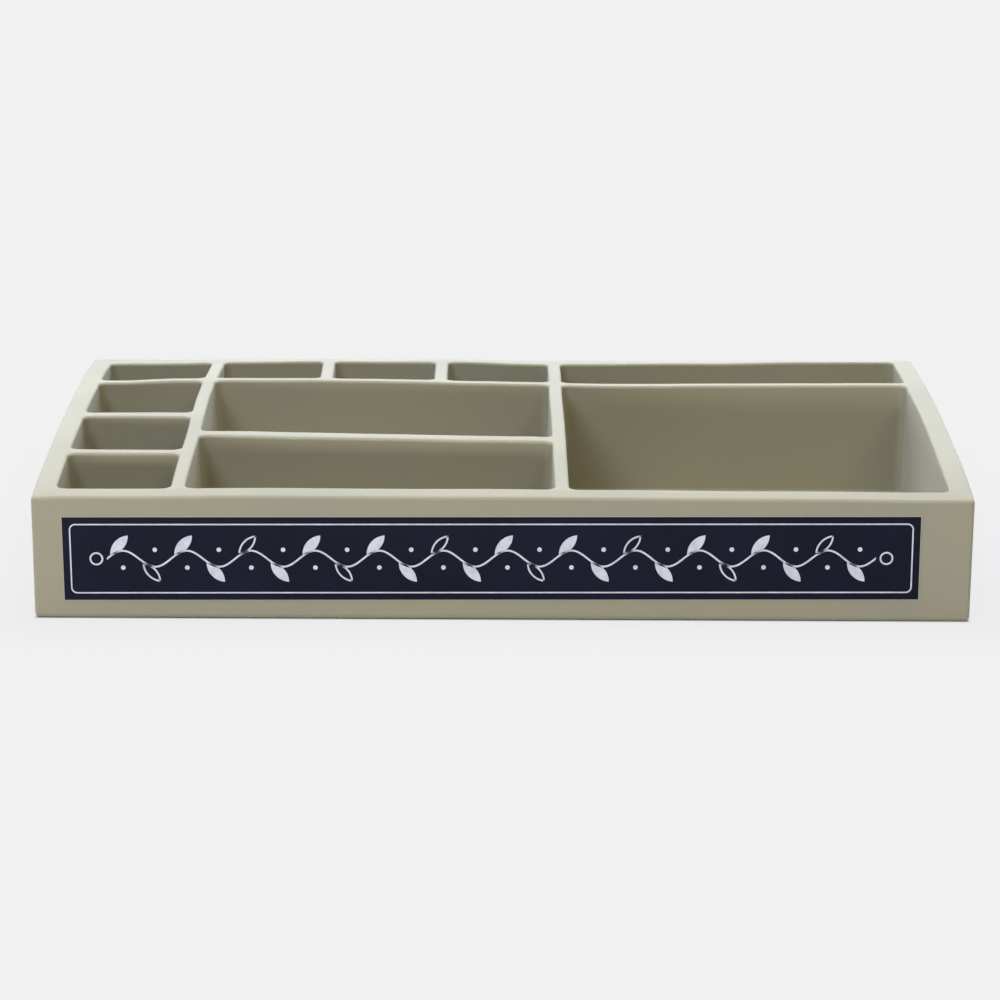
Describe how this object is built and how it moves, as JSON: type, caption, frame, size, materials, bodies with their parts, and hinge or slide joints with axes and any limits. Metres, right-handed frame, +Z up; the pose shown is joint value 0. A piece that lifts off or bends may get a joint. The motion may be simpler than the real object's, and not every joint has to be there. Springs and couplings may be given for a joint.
{
  "type": "vanity organizer",
  "caption": "Low rectangular vanity organizer tray with a crowned rim, a column and a row of small cells, two long middle compartments, a wide one and a rear slot.",
  "frame": {"origin": "middle of the footprint, on the surface that the pads stand on", "axes": "+X to the user's right along the long side, +Y away from the user, +Z up"},
  "size_m": [0.3008, 0.1732, 0.0451],
  "materials": {
    "soft_taupe": "moulded, matt and soft to the touch, warm taupe",
    "label_film": null,
    "pad_rubber": "matt soft rubber"
  },
  "bodies": {
    "root": {"tray_body": "soft_taupe", "front_label": "label_film", "foot_front_left": "pad_rubber", "foot_front_right": "pad_rubber", "foot_rear_left": "pad_rubber", "foot_rear_right": "pad_rubber"}
  },
  "joints": []
}
